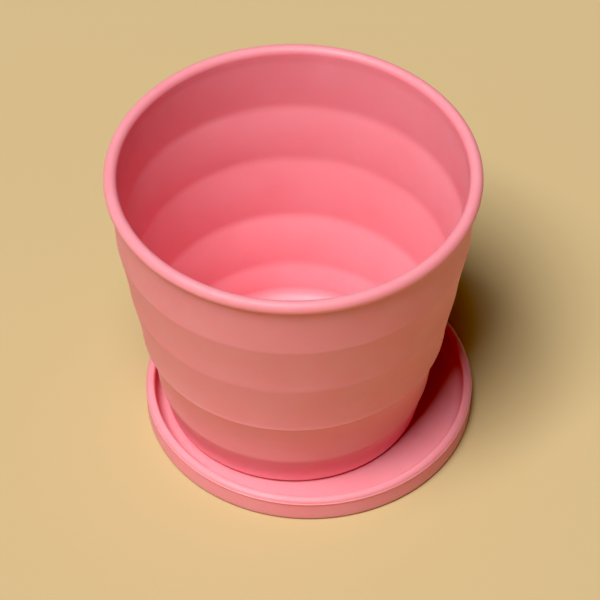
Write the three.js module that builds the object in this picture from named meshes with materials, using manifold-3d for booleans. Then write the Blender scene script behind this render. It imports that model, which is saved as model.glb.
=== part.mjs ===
// A small stepped plant pot standing loose in its drip saucer, both moulded in one plastic.
// Millimetres, +Z up. The origin is on the pot's axis, at the level that the saucer stands on.
import * as THREE from "three";
import { mergeVertices } from "three/addons/utils/BufferGeometryUtils.js";
import Module from "manifold-3d";

// Pot: overall sizes
const RIM_RADIUS = 40; // outside of the rolled rim
const RIM_TOP = 69.7;
const RIM_BEAD_WIDTH = 2.85;
const RIM_BEAD_HEIGHT = 3;
const WALL = 1.6; // at the ridges; each step shows inside and outside

// Pot: the stepped wall, five bands with a ridge between each two
const NECK_RADIUS = RIM_RADIUS - RIM_BEAD_WIDTH + WALL; // outside of the wall, just under the bead
const NECK_HEIGHT = RIM_TOP - RIM_BEAD_HEIGHT;
const RIDGE_RADII = [38, 35.75, 33.3, 30.3]; // outside, from the top ridge down
const RIDGE_HEIGHTS = [53.6, 39.3, 24.5, 10.7];
const CREASE_HEIGHTS = [53.6, 39.9, 24.5, 11.8]; // where each ridge shows on the inside
const OUTER_COVES = [1.3, 1.3, 1.3, 1.7, 1.5]; // how hollow each band is: 1 is a straight cone
const INNER_COVES = [2, 2, 2, 2, 2];
const BAND_STEPS = 4;

// Pot: foot and floor
const FOOT_RADIUS = 28.4; // where the lowest band ends
const FOOT_ROUND = 1.2; // rounded corner between the lowest band and the foot ring
const FOOT_RING_WIDTH = 1.8;
const FOOT_RING_DEPTH = 0.4; // how far the underside is raised inside the ring
const FLOOR = 1.2;
const FLOOR_ROUND = 3; // inside corner between the floor and the wall
const DRAIN_HOLE_RADIUS = 1.9;
const DRAIN_CIRCLE_RADIUS = 15;
const DRAIN_HOLES = 6; // on the circle, with one more in the middle
const DRAIN_NOTCHES = 4; // gaps in the foot ring that let water out to the saucer
const DRAIN_NOTCH_WIDTH = 6;
const DRAIN_NOTCH_HEIGHT = 0.3;

// Saucer
const SAUCER_RADIUS = 36.4; // at the outer edge of its lip
const SAUCER_HEIGHT = 6.2;
const SAUCER_FLOOR = 1.5;
const SAUCER_FLOOR_ROUND = 2.4; // inside corner between the floor and the wall
const SAUCER_WALL = 1.9;
const SAUCER_BASE_RADIUS = 36.3; // outside of the wall, at the underside
const SAUCER_BASE_ROUND = 0.8;
const SAUCER_LIP_WIDTH = 2.1;
const SAUCER_LIP_ROUND = 1; // how far the lip's top falls to its outer edge
const SAUCER_LIP_EDGE = 0.3; // height of the outer edge
const SAUCER_LIP_STEP = 0.2; // how far the lip stands out from the wall below it
const SAUCER_CENTRE = [3.4, -1.3]; // the pot stands off centre in it
const SEAT_GAP = 0.2; // left between the foot ring and the saucer's floor

const LATHE_SEGMENTS = 48;
const HOLE_SEGMENTS = 16;
const OVERSHOOT = 1; // how far a cutter runs past what it cuts

const FOOT_HEIGHT = SAUCER_FLOOR + SEAT_GAP;

const wasm = await Module();
wasm.setup();

const pinkPlastic = () =>
  new THREE.MeshStandardMaterial({ color: 0xf59ba8, roughness: 0.35, metalness: 0 });

function toSolid(geometry) {
  const bare = geometry.clone().deleteAttribute("normal").deleteAttribute("uv");
  const merged = mergeVertices(bare, 1e-4);
  return new wasm.Manifold(
    new wasm.Mesh({
      numProp: 3,
      vertProperties: merged.attributes.position.array,
      triVerts: new Uint32Array(merged.index.array),
    }),
  );
}

function toGeometry(solid) {
  const mesh = solid.getMesh();
  const geometry = new THREE.BufferGeometry();
  geometry.setAttribute("position", new THREE.BufferAttribute(mesh.vertProperties, 3));
  geometry.setIndex(new THREE.BufferAttribute(mesh.triVerts, 1));
  geometry.computeVertexNormals();
  return geometry;
}

// Turns a profile of [radius, height] points, in order from the underside outwards, about Z.
function turned(profile) {
  const points = profile.map(([radius, height]) => new THREE.Vector2(radius, height));
  return new THREE.LatheGeometry(points, LATHE_SEGMENTS).rotateX(Math.PI / 2);
}

// Points on a quarter or half of an ellipse, its ends included; angles in degrees.
function arc(centre, halfSize, from, to, steps) {
  return Array.from({ length: steps + 1 }, (_, i) => {
    const angle = THREE.MathUtils.degToRad(from + ((to - from) * i) / steps);
    return [
      centre[0] + halfSize[0] * Math.cos(angle),
      centre[1] + halfSize[1] * Math.sin(angle),
    ];
  });
}

// The band corners, from the neck under the rim down to the foot.
function bandCorners(heights) {
  return [
    [NECK_RADIUS, NECK_HEIGHT],
    ...RIDGE_RADII.map((radius, i) => [radius, heights[i]]),
    [FOOT_RADIUS, FOOT_HEIGHT + FOOT_ROUND],
  ];
}

// One side of the wall, from the foot up: below each ridge a band slopes in, then turns upright.
function wallSide(heights, coves, inset) {
  const corners = bandCorners(heights);
  const side = [];
  for (let i = 1; i < corners.length; i++) {
    const [topRadius, top] = corners[i - 1];
    const [bottomRadius, bottom] = corners[i];
    for (let k = 0; k < BAND_STEPS; k++) {
      const down = k / BAND_STEPS;
      const radius = bottomRadius + (topRadius - bottomRadius) * (1 - down) ** coves[i - 1];
      side.push([radius - inset, top + (bottom - top) * down]);
    }
  }
  side.push([FOOT_RADIUS - inset, FOOT_HEIGHT + FOOT_ROUND]);
  return side.reverse();
}

function potProfile() {
  const outer = wallSide(RIDGE_HEIGHTS, OUTER_COVES, 0);
  const floorTop = FOOT_HEIGHT + FOOT_RING_DEPTH + FLOOR;
  const inner = wallSide(CREASE_HEIGHTS, INNER_COVES, WALL).filter(
    ([, height]) => height > floorTop + FLOOR_ROUND,
  );
  const ringOuter = FOOT_RADIUS - FOOT_ROUND;
  const ringInner = ringOuter - FOOT_RING_WIDTH;
  const beadCentre = [RIM_RADIUS - RIM_BEAD_WIDTH / 2, RIM_TOP - RIM_BEAD_HEIGHT / 2];
  const beadHalf = [RIM_BEAD_WIDTH / 2, RIM_BEAD_HEIGHT / 2];
  const floorRoundCentre = [inner[0][0] - FLOOR_ROUND, floorTop + FLOOR_ROUND];
  return [
    [0, FOOT_HEIGHT + FOOT_RING_DEPTH],
    [ringInner - FOOT_RING_DEPTH / 2, FOOT_HEIGHT + FOOT_RING_DEPTH],
    [ringInner, FOOT_HEIGHT],
    ...arc([ringOuter, FOOT_HEIGHT + FOOT_ROUND], [FOOT_ROUND, FOOT_ROUND], -90, -30, 2),
    ...outer,
    ...arc(beadCentre, beadHalf, -55, 180, 8),
    ...inner.toReversed(),
    ...arc(floorRoundCentre, [FLOOR_ROUND, FLOOR_ROUND], -10, -90, 5),
    [0, floorTop],
  ];
}

function makePot() {
  let pot = toSolid(turned(potProfile()));
  const hole = toSolid(
    new THREE.CylinderGeometry(
      DRAIN_HOLE_RADIUS,
      DRAIN_HOLE_RADIUS,
      FLOOR + 2 * OVERSHOOT,
      HOLE_SEGMENTS,
    )
      .rotateX(Math.PI / 2)
      .translate(0, 0, FOOT_HEIGHT + FOOT_RING_DEPTH + FLOOR / 2),
  );
  pot = pot.subtract(hole);
  for (let i = 0; i < DRAIN_HOLES; i++) {
    const angle = (2 * Math.PI * i) / DRAIN_HOLES;
    const x = DRAIN_CIRCLE_RADIUS * Math.cos(angle);
    const y = DRAIN_CIRCLE_RADIUS * Math.sin(angle);
    pot = pot.subtract(hole.translate([x, y, 0]));
  }
  const ringMiddle = FOOT_RADIUS - FOOT_ROUND - FOOT_RING_WIDTH / 2;
  const notch = toSolid(
    new THREE.BoxGeometry(
      FOOT_RING_WIDTH + 2 * OVERSHOOT,
      DRAIN_NOTCH_WIDTH,
      DRAIN_NOTCH_HEIGHT + OVERSHOOT,
    ).translate(ringMiddle, 0, FOOT_HEIGHT + (DRAIN_NOTCH_HEIGHT - OVERSHOOT) / 2),
  );
  for (let i = 0; i < DRAIN_NOTCHES; i++) {
    const degrees = (360 * (i + 0.5)) / DRAIN_NOTCHES;
    pot = pot.subtract(notch.rotate([0, 0, degrees]));
  }
  const mesh = new THREE.Mesh(toGeometry(pot), pinkPlastic());
  mesh.name = "pot";
  return mesh;
}

function saucerProfile() {
  const edgeTop = SAUCER_HEIGHT - SAUCER_LIP_ROUND;
  const edgeBottom = edgeTop - SAUCER_LIP_EDGE;
  const lipInner = SAUCER_RADIUS - SAUCER_LIP_WIDTH;
  const lipMiddle = SAUCER_RADIUS - SAUCER_LIP_WIDTH * 0.7;
  const baseRoundCentre = [SAUCER_BASE_RADIUS - SAUCER_BASE_ROUND, SAUCER_BASE_ROUND];
  const floorEdge = SAUCER_BASE_RADIUS - SAUCER_WALL;
  const floorRoundCentre = [floorEdge - SAUCER_FLOOR_ROUND, SAUCER_FLOOR + SAUCER_FLOOR_ROUND];
  const floorRound = [SAUCER_FLOOR_ROUND, SAUCER_FLOOR_ROUND];
  return [
    [0, 0],
    ...arc(baseRoundCentre, [SAUCER_BASE_ROUND, SAUCER_BASE_ROUND], -90, 0, 3),
    [SAUCER_RADIUS - SAUCER_LIP_STEP, edgeBottom - SAUCER_LIP_STEP],
    [SAUCER_RADIUS, edgeBottom],
    ...arc([lipMiddle, edgeTop], [SAUCER_RADIUS - lipMiddle, SAUCER_LIP_ROUND], 0, 90, 4),
    [lipInner, edgeTop],
    ...arc(floorRoundCentre, floorRound, 0, -90, 4),
    [0, SAUCER_FLOOR],
  ];
}

function makeSaucer() {
  const mesh = new THREE.Mesh(turned(saucerProfile()), pinkPlastic());
  mesh.position.set(SAUCER_CENTRE[0], SAUCER_CENTRE[1], 0);
  mesh.name = "saucer";
  return mesh;
}

const group = new THREE.Group();
group.add(makeSaucer(), makePot());
export default group;
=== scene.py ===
"""A small stepped plant pot standing off centre in its drip saucer, on a plain pale floor."""

import math

import bmesh
import bpy
from mathutils import Euler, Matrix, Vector


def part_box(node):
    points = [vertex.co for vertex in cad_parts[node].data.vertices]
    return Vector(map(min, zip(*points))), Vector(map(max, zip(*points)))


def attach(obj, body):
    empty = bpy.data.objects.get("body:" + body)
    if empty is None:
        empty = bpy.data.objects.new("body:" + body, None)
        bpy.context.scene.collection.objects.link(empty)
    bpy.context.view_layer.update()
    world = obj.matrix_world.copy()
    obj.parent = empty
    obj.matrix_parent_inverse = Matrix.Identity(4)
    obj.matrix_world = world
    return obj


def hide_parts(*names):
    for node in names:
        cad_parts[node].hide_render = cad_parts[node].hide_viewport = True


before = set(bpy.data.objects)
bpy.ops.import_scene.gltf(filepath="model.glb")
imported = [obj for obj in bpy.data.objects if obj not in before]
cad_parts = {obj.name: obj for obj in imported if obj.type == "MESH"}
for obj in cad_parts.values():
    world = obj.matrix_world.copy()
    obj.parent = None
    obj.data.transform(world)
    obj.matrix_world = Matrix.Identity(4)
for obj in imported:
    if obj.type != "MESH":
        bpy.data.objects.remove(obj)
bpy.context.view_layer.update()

MM = 0.001

# Places and outer sizes, from the frame
pot_low, pot_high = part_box("pot")
saucer_low, saucer_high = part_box("saucer")
RIM_RADIUS = (pot_high[0] - pot_low[0]) / 2
RIM_TOP = pot_high[2]
FOOT_HEIGHT = pot_low[2]
SAUCER_RADIUS = (saucer_high[0] - saucer_low[0]) / 2
SAUCER_HEIGHT = saucer_high[2]
SAUCER_CENTRE = Vector(
    ((saucer_high[0] + saucer_low[0]) / 2, (saucer_high[1] + saucer_low[1]) / 2, 0)
)

# Pot
WALL = 1.6 * MM
BEAD_WIDTH = 2.85 * MM
BEAD_HEIGHT = 3 * MM
NECK_RADIUS = RIM_RADIUS - BEAD_WIDTH + WALL
RIDGE_RADII = [38 * MM, 35.75 * MM, 33.3 * MM, 30.3 * MM]  # outside, from the top ridge down
RIDGE_HEIGHTS = [53.6 * MM, 39.3 * MM, 24.5 * MM, 10.7 * MM]
RIDGE_ROUNDS = [0.6 * MM, 0.8 * MM, 0.35 * MM, 0.7 * MM]  # each is rounded this far up and down
CREASE_HEIGHTS = [53.6 * MM, 39.9 * MM, 24.5 * MM, 11.8 * MM]  # where the ridges show inside
CREASE_ROUND = 1 * MM
OUTER_COVES = [1.3, 1.3, 1.3, 1.7, 1.5]  # how hollow each band is: 1 is a straight cone
INNER_COVES = [2, 2, 2, 2, 2]
CRISP_RIDGE = 2  # this ridge also has a fine raised edge
CRISP_EDGE = 0.07 * MM  # how far that edge stands out
CRISP_EDGE_HALF = 0.22 * MM  # half its height
CRISP_HOLLOW = 0.7  # depth of the hollow under it, as a share of how far it stands out
BAND_STEPS = 28
FOOT_RADIUS = 28.4 * MM
FOOT_ROUND = 1.2 * MM
FOOT_RING_WIDTH = 1.8 * MM
FOOT_RING_DEPTH = 0.4 * MM  # how far the underside is raised inside the ring
FOOT_RING_EDGE_ROUND = 0.2 * MM
FLOOR = 1.2 * MM
FLOOR_ROUND = 3 * MM  # inside corner between the floor and the wall
FLOOR_PATCH_RADIUS = 22 * MM  # the flat middle of the floor, which holds the drain holes
DRAIN_HOLE_RADIUS = 1.9 * MM
DRAIN_HOLE_ROUND = 0.3 * MM
DRAIN_CIRCLE_RADIUS = 15 * MM
DRAIN_HOLES = 6  # on the circle, with one more in the middle
DRAIN_NOTCHES = 4  # gaps in the foot ring that let water out to the saucer
DRAIN_NOTCH_WIDTH = 6 * MM
DRAIN_NOTCH_HEIGHT = 0.3 * MM
DRAIN_NOTCH_SIDE = 0.8 * MM  # width of its sloping sides

# Saucer
SAUCER_FLOOR = 1.5 * MM
SAUCER_FLOOR_ROUND = 2.4 * MM
SAUCER_WALL = 1.9 * MM
SAUCER_BASE_RADIUS = 36.3 * MM
SAUCER_BASE_ROUND = 0.8 * MM
SAUCER_LIP_WIDTH = 2.1 * MM
SAUCER_LIP_CREST = 0.7  # where the lip is highest, as a share of its width from the outer edge
SAUCER_LIP_ROUND = 1 * MM  # how far the lip's top falls to its outer edge
SAUCER_LIP_EDGE = 0.3 * MM  # height of the outer edge
SAUCER_LIP_STEP = 0.2 * MM  # how far the edge stands out from the wall below it
GATE_RADIUS = 3 * MM  # the dimple that moulding leaves in the underside
GATE_DEPTH = 0.35 * MM

TURN_SEGMENTS = 256
HOLE_SEGMENTS = 40

# Camera and light
CAMERA_LENS_MM = 204
SENSOR_WIDTH_MM = 36
CAMERA_ELEVATION = math.radians(46.46)
CAMERA_DISTANCE = 735.9 * MM
CAMERA_TARGET = Vector((1.4, -4.9, 35)) * MM
WORLD_STRENGTH = 0.05
BLACK_LEVEL = (0.004, 0.017, 0.021)  # what the view shows as black
FLOOR_HALF = 2  # half the side of the floor that the object stands on

# Looks; noise scales are per metre
PINK = (0.87, 0.32, 0.385)
PINK_DEEP = (0.86, 0.295, 0.355)
PLASTIC_ROUGHNESS = (0.47, 0.56)
PLASTIC_IOR = 1.5
SCATTER_WEIGHT = 0.55
SCATTER_DEPTH = 3 * MM
SCATTER_COLOURS = (1.0, 0.2, 0.2)  # red light goes deepest into the plastic
CLOUD_SCALE = 90
GLOSS_SCALE = 260
GRAIN_SCALE = 2600
GRAIN_DEPTH = 0.01 * MM
RIPPLE_SCALE = 420
RIPPLE_DEPTH = 0.03 * MM
BUMP_STRENGTH = 0.35
FLOOR_COLOUR = (0.56, 0.43, 0.23)
FLOOR_ROUGHNESS = 0.8
FLOOR_SPECULAR = 0.25


def arc(centre, half_size, start, end, steps):
    """Points on a part of an ellipse, with its ends; angles in degrees."""
    points = []
    for i in range(steps + 1):
        angle = math.radians(start + (end - start) * i / steps)
        points.append(
            (
                centre[0] + half_size[0] * math.cos(angle),
                centre[1] + half_size[1] * math.sin(angle),
            )
        )
    return points


def straight(start, end, steps):
    """Points from start to end, without either."""
    return [
        (
            start[0] + (end[0] - start[0]) * i / steps,
            start[1] + (end[1] - start[1]) * i / steps,
        )
        for i in range(1, steps)
    ]


# ---------------------------------------------------------------- geometry


def add_rings(mesh, profile, centre, segments):
    """Turns a profile of (radius, height) points about the vertical through centre. Returns the rings."""
    rings = []
    for radius, height in profile:
        ring = []
        for k in range(segments):
            angle = 2 * math.pi * k / segments
            ring.append(
                mesh.verts.new(
                    centre
                    + Vector((radius * math.cos(angle), radius * math.sin(angle), height))
                )
            )
        rings.append(ring)
    for lower, upper in zip(rings, rings[1:]):
        for k in range(segments):
            after = (k + 1) % segments
            mesh.faces.new((lower[k], lower[after], upper[after], upper[k]))
    return rings


def close_with_point(mesh, ring, point):
    """Closes a ring with a fan of triangles to one point."""
    middle = mesh.verts.new(point)
    for k, vertex in enumerate(ring):
        mesh.faces.new((vertex, ring[(k + 1) % len(ring)], middle))


def fill_between(mesh, loops):
    """Fills the flat area inside the first loop and outside the others."""
    edges = []
    for loop in loops:
        for k, vertex in enumerate(loop):
            after = loop[(k + 1) % len(loop)]
            edge = mesh.edges.get((vertex, after)) or mesh.edges.new((vertex, after))
            edges.append(edge)
    bmesh.ops.triangle_fill(mesh, use_beauty=True, use_dissolve=False, edges=edges)


def to_object(mesh, name, material):
    bmesh.ops.recalc_face_normals(mesh, faces=mesh.faces)
    data = bpy.data.meshes.new(name)
    mesh.to_mesh(data)
    mesh.free()
    data.polygons.foreach_set("use_smooth", [True] * len(data.polygons))
    data.materials.append(material)
    made = bpy.data.objects.new(name, data)
    bpy.context.scene.collection.objects.link(made)
    return made


# ---------------------------------------------------------------- pot


def band_corners(heights):
    """Where the bands meet, from the neck under the rim down to the foot."""
    neck = (NECK_RADIUS, RIM_TOP - BEAD_HEIGHT)
    foot = (FOOT_RADIUS, FOOT_HEIGHT + FOOT_ROUND)
    return [neck, *zip(RIDGE_RADII, heights), foot]


def sharp_radius(height, heights, coves):
    """Radius of the wall: below each ridge a band slopes in, then turns upright."""
    corners = band_corners(heights)
    for (top_radius, top), (bottom_radius, bottom), cove in zip(corners, corners[1:], coves):
        if height >= bottom:
            down = min(max((top - height) / (top - bottom), 0), 1)
            return bottom_radius + (top_radius - bottom_radius) * (1 - down) ** cove
    return corners[-1][0]


def rounded_radius(height, heights, coves, rounding):
    """The same, averaged over a short height, which rounds the ridges."""
    samples = 9
    total = 0
    for i in range(samples):
        total += sharp_radius(height + rounding * (2 * i / (samples - 1) - 1), heights, coves)
    return total / samples


def outer_radius(height):
    """The outside of the wall, with a fine raised edge on the crisp ridge and a hollow under it."""
    nearest = min(range(len(RIDGE_HEIGHTS)), key=lambda i: abs(height - RIDGE_HEIGHTS[i]))
    wall = rounded_radius(height, RIDGE_HEIGHTS, OUTER_COVES, RIDGE_ROUNDS[nearest])
    above = (height - RIDGE_HEIGHTS[CRISP_RIDGE]) / CRISP_EDGE_HALF
    edge = math.exp(-(above**2)) - CRISP_HOLLOW * math.exp(-((above + 2) ** 2))
    return wall + CRISP_EDGE * edge


def inner_radius(height):
    """The inside of the wall: more hollow bands, each crease rounded alike."""
    return rounded_radius(height, CREASE_HEIGHTS, INNER_COVES, CREASE_ROUND) - WALL


def wall_heights(ridge_heights):
    """Heights from the foot up, closer together near the ridges."""
    heights = []
    corners = band_corners(ridge_heights)
    for (_, top), (_, bottom) in zip(corners, corners[1:]):
        for k in range(BAND_STEPS):
            heights.append(top + (bottom - top) * (1 - math.cos(math.pi * k / BAND_STEPS)) / 2)
    return [corners[-1][1], *reversed(heights)]


def pot_profile():
    """Half the pot's section, from the underside out, up over the rim and down to the floor."""
    outer = [(outer_radius(height), height) for height in wall_heights(RIDGE_HEIGHTS)]
    underside = FOOT_HEIGHT + FOOT_RING_DEPTH
    floor_top = underside + FLOOR
    inner = [
        (inner_radius(height), height)
        for height in wall_heights(CREASE_HEIGHTS)
        if height > floor_top + FLOOR_ROUND
    ]
    ring_outer = FOOT_RADIUS - FOOT_ROUND
    ring_inner = ring_outer - FOOT_RING_WIDTH
    soft = FOOT_RING_EDGE_ROUND
    bead_centre = (RIM_RADIUS - BEAD_WIDTH / 2, RIM_TOP - BEAD_HEIGHT / 2)
    bead_half = (BEAD_WIDTH / 2, BEAD_HEIGHT / 2)
    floor_edge = inner[0][0] - FLOOR_ROUND
    return [
        (FLOOR_PATCH_RADIUS, underside),
        *straight((FLOOR_PATCH_RADIUS, underside), (ring_inner - 3 * soft, underside), 4),
        *arc((ring_inner - 2 * soft, underside - soft), (soft, soft), 90, 20, 4),
        *arc((ring_inner, FOOT_HEIGHT + soft), (soft, soft), 200, 270, 4),
        *straight((ring_inner, FOOT_HEIGHT), (ring_outer, FOOT_HEIGHT), 5),
        *arc((ring_outer, FOOT_HEIGHT + FOOT_ROUND), (FOOT_ROUND, FOOT_ROUND), -90, -8, 8),
        *outer[:-1],
        *arc(bead_centre, bead_half, -62, 180, 40),
        *reversed(inner[:-2]),
        *arc(
            (floor_edge, floor_top + FLOOR_ROUND), (FLOOR_ROUND, FLOOR_ROUND), -4, -90, 20
        ),
        *straight((floor_edge, floor_top), (FLOOR_PATCH_RADIUS, floor_top), 3),
        (FLOOR_PATCH_RADIUS, floor_top),
    ]


def drain_hole_profile():
    """The wall of a drain hole, from the underside up, with rounded edges."""
    underside = FOOT_HEIGHT + FOOT_RING_DEPTH
    top = underside + FLOOR
    outer = DRAIN_HOLE_RADIUS + DRAIN_HOLE_ROUND
    half = (DRAIN_HOLE_ROUND, DRAIN_HOLE_ROUND)
    return [
        *arc((outer, underside + DRAIN_HOLE_ROUND), half, 270, 180, 4),
        *arc((outer, top - DRAIN_HOLE_ROUND), half, 180, 90, 4),
    ]


def drain_hole_centres():
    """One in the middle, and the rest evenly round their circle."""
    centres = [Vector((0, 0, 0))]
    for i in range(DRAIN_HOLES):
        angle = 2 * math.pi * i / DRAIN_HOLES
        centres.append(
            Vector((DRAIN_CIRCLE_RADIUS * math.cos(angle), DRAIN_CIRCLE_RADIUS * math.sin(angle), 0))
        )
    return centres


def cut_drain_notches(mesh):
    """Raises the foot ring's lower face where a notch lets the water out."""
    roof = FOOT_HEIGHT + DRAIN_NOTCH_HEIGHT
    for vertex in mesh.verts:
        x, y, z = vertex.co
        if z >= roof or math.hypot(x, y) < FLOOR_PATCH_RADIUS:
            continue
        across = math.inf
        for i in range(DRAIN_NOTCHES):
            angle = 2 * math.pi * (i + 0.5) / DRAIN_NOTCHES
            if x * math.cos(angle) + y * math.sin(angle) > 0:
                across = min(across, abs(y * math.cos(angle) - x * math.sin(angle)))
        depth = min(max((DRAIN_NOTCH_WIDTH / 2 - across) / DRAIN_NOTCH_SIDE, 0), 1)
        depth = depth * depth * (3 - 2 * depth)
        vertex.co.z = max(z, z + (roof - z) * depth)


def make_pot():
    mesh = bmesh.new()
    origin = Vector((0, 0, 0))
    rings = add_rings(mesh, pot_profile(), origin, TURN_SEGMENTS)
    lower = [rings[0]]
    upper = [rings[-1]]
    for centre in drain_hole_centres():
        hole = add_rings(mesh, drain_hole_profile(), centre, HOLE_SEGMENTS)
        lower.append(hole[0])
        upper.append(hole[-1])
    fill_between(mesh, lower)
    fill_between(mesh, upper)
    cut_drain_notches(mesh)
    pot = to_object(mesh, "pot_shell", plastic("pot_plastic"))
    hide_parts("pot")
    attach(pot, "pot")


# ---------------------------------------------------------------- saucer


def saucer_profile():
    """Half the saucer's section, from the gate's dimple out, up over the lip and in along the floor."""
    edge_top = SAUCER_HEIGHT - SAUCER_LIP_ROUND
    edge_half = SAUCER_LIP_EDGE / 2
    edge_centre = (SAUCER_RADIUS - edge_half, edge_top - edge_half)
    lip_inner = SAUCER_RADIUS - SAUCER_LIP_WIDTH
    lip_crest = SAUCER_RADIUS - SAUCER_LIP_CREST * SAUCER_LIP_WIDTH
    lip_outer = SAUCER_RADIUS - SAUCER_LIP_STEP
    under_lip = (lip_outer, edge_top - SAUCER_LIP_EDGE - 0.5 * SAUCER_LIP_STEP)
    floor_round = (SAUCER_FLOOR_ROUND, SAUCER_FLOOR_ROUND)
    floor_centre = (
        SAUCER_BASE_RADIUS - SAUCER_WALL - SAUCER_FLOOR_ROUND,
        SAUCER_FLOOR + SAUCER_FLOOR_ROUND,
    )
    base_round = (SAUCER_BASE_ROUND, SAUCER_BASE_ROUND)
    base_centre = (SAUCER_BASE_RADIUS - SAUCER_BASE_ROUND, SAUCER_BASE_ROUND)
    base = arc(base_centre, base_round, -90, -8, 6)
    floor = arc(floor_centre, floor_round, 0, -90, 10)
    return [
        # the side of the dimple, slanted and eased at both edges
        (GATE_RADIUS * 0.85, GATE_DEPTH),
        (GATE_RADIUS, GATE_DEPTH * 0.8),
        (GATE_RADIUS * 1.08, 0),
        *straight((GATE_RADIUS, 0), base[0], 24),
        *base,
        *straight(base[-1], under_lip, 10),
        under_lip,
        *arc(edge_centre, (edge_half, edge_half), -75, 75, 8),
        *arc((lip_crest, edge_top), (lip_outer - lip_crest, SAUCER_LIP_ROUND), 4, 90, 14),
        *arc((lip_crest, edge_top), (lip_crest - lip_inner, SAUCER_LIP_ROUND), 98, 180, 10),
        *straight((lip_inner, edge_top), floor[0], 8),
        *floor,
        *straight(floor[-1], (GATE_RADIUS, SAUCER_FLOOR), 24),
    ]


def make_saucer():
    mesh = bmesh.new()
    rings = add_rings(mesh, saucer_profile(), SAUCER_CENTRE, TURN_SEGMENTS)
    close_with_point(mesh, rings[0], SAUCER_CENTRE + Vector((0, 0, GATE_DEPTH)))
    close_with_point(mesh, rings[-1], SAUCER_CENTRE + Vector((0, 0, SAUCER_FLOOR)))
    saucer = to_object(mesh, "saucer_dish", plastic("saucer_plastic"))
    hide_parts("saucer")
    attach(saucer, "saucer")


# ---------------------------------------------------------------- materials


def new_material(name):
    material = bpy.data.materials.new(name)
    material.use_nodes = True
    tree = material.node_tree
    return material, tree, tree.nodes["Principled BSDF"]


def noise(tree, scale, detail, place):
    node = tree.nodes.new("ShaderNodeTexNoise")
    node.inputs["Scale"].default_value = scale
    node.inputs["Detail"].default_value = detail
    tree.links.new(place, node.inputs["Vector"])
    return node.outputs["Fac"]


def spread(tree, value, low, high):
    """Maps the middle of a noise to low to high."""
    node = tree.nodes.new("ShaderNodeMapRange")
    node.inputs["From Min"].default_value = 0.3
    node.inputs["From Max"].default_value = 0.7
    node.inputs["To Min"].default_value = low
    node.inputs["To Max"].default_value = high
    tree.links.new(value, node.inputs["Value"])
    return node.outputs["Result"]


def mixed(tree, amount, first, second):
    """A colour between two others."""
    node = tree.nodes.new("ShaderNodeMix")
    node.data_type = "RGBA"
    tree.links.new(amount, node.inputs["Factor"])
    node.inputs["A"].default_value = (*first, 1)
    node.inputs["B"].default_value = (*second, 1)
    return node.outputs["Result"]


def bumped(tree, height, distance, strength, onto=None):
    node = tree.nodes.new("ShaderNodeBump")
    node.inputs["Distance"].default_value = distance
    node.inputs["Strength"].default_value = strength
    tree.links.new(height, node.inputs["Height"])
    if onto is not None:
        tree.links.new(onto, node.inputs["Normal"])
    return node.outputs["Normal"]


def plastic(name):
    """Satin injection-moulded plastic: faint clouding, a fine mould texture, uneven gloss."""
    material, tree, shader = new_material(name)
    place = tree.nodes.new("ShaderNodeTexCoord").outputs["Object"]
    clouds = spread(tree, noise(tree, CLOUD_SCALE, 3, place), 0, 1)
    colour = mixed(tree, clouds, PINK, PINK_DEEP)
    tree.links.new(colour, shader.inputs["Base Color"])
    gloss = spread(tree, noise(tree, GLOSS_SCALE, 4, place), *PLASTIC_ROUGHNESS)
    tree.links.new(gloss, shader.inputs["Roughness"])
    grain = noise(tree, GRAIN_SCALE, 2, place)
    ripple = noise(tree, RIPPLE_SCALE, 2, place)
    normal = bumped(tree, grain, GRAIN_DEPTH, BUMP_STRENGTH)
    normal = bumped(tree, ripple, RIPPLE_DEPTH, BUMP_STRENGTH, normal)
    tree.links.new(normal, shader.inputs["Normal"])
    shader.inputs["IOR"].default_value = PLASTIC_IOR
    shader.inputs["Subsurface Weight"].default_value = SCATTER_WEIGHT
    shader.inputs["Subsurface Radius"].default_value = SCATTER_COLOURS
    shader.inputs["Subsurface Scale"].default_value = SCATTER_DEPTH
    return material


def floor_material():
    material, tree, shader = new_material("pale_floor")
    shader.inputs["Base Color"].default_value = (*FLOOR_COLOUR, 1)
    shader.inputs["Roughness"].default_value = FLOOR_ROUGHNESS
    shader.inputs["Specular IOR Level"].default_value = FLOOR_SPECULAR
    return material


# ---------------------------------------------------------------- stage


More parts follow.
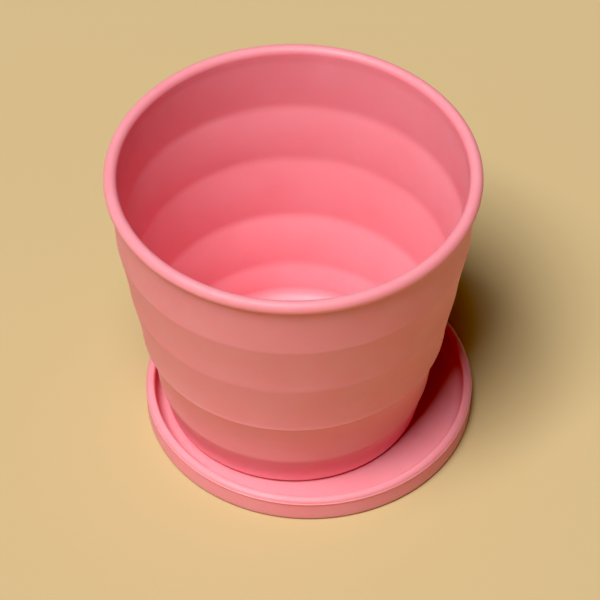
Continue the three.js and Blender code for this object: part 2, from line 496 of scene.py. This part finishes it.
def make_floor():
    mesh = bmesh.new()
    bmesh.ops.create_grid(mesh, x_segments=1, y_segments=1, size=FLOOR_HALF)
    floor = to_object(mesh, "floor", floor_material())


def area_light(name, azimuth, elevation, distance, size, power, colour):
    """A square light aimed at the object. Azimuth 0 is the camera's side and 90 is its left."""
    turn = math.radians(azimuth)
    rise = math.radians(elevation)
    towards = Vector(
        (
            -math.sin(turn) * math.cos(rise),
            -math.cos(turn) * math.cos(rise),
            math.sin(rise),
        )
    )
    data = bpy.data.lights.new(name, "AREA")
    data.shape = "SQUARE"
    data.size = size
    data.energy = power
    data.color = colour
    light = bpy.data.objects.new(name, data)
    light.location = CAMERA_TARGET + towards * distance
    light.rotation_euler = towards.to_track_quat("Z", "Y").to_euler()
    bpy.context.scene.collection.objects.link(light)


def make_lights():
    area_light(
        "key",
        azimuth=37,
        elevation=67,
        distance=7,
        size=3.2,
        power=650,
        colour=(1, 0.985, 0.955),
    )
    area_light(
        "fill",
        azimuth=60,
        elevation=22,
        distance=3,
        size=1.8,
        power=4.5,
        colour=(1, 0.98, 0.96),
    )
    world = bpy.data.worlds.new("studio")
    world.use_nodes = True
    background = world.node_tree.nodes["Background"]
    background.inputs["Color"].default_value = (1, 0.98, 0.96, 1)
    background.inputs["Strength"].default_value = WORLD_STRENGTH
    bpy.context.scene.world = world


def make_camera():
    data = bpy.data.cameras.new("camera")
    data.lens = CAMERA_LENS_MM
    data.sensor_width = SENSOR_WIDTH_MM
    camera = bpy.data.objects.new("camera", data)
    back = Vector((0, -math.cos(CAMERA_ELEVATION), math.sin(CAMERA_ELEVATION)))
    camera.location = CAMERA_TARGET + back * CAMERA_DISTANCE
    camera.rotation_euler = Euler((math.pi / 2 - CAMERA_ELEVATION, 0, 0))
    bpy.context.scene.collection.objects.link(camera)
    bpy.context.scene.camera = camera


def make_view():
    """A plain view in which the darkest tones are shown as black."""
    view = bpy.context.scene.view_settings
    view.view_transform = "Standard"
    view.use_curve_mapping = True
    view.curve_mapping.black_level = BLACK_LEVEL
    view.curve_mapping.update()


make_camera()
make_pot()
make_saucer()
make_floor()
make_lights()
make_view()
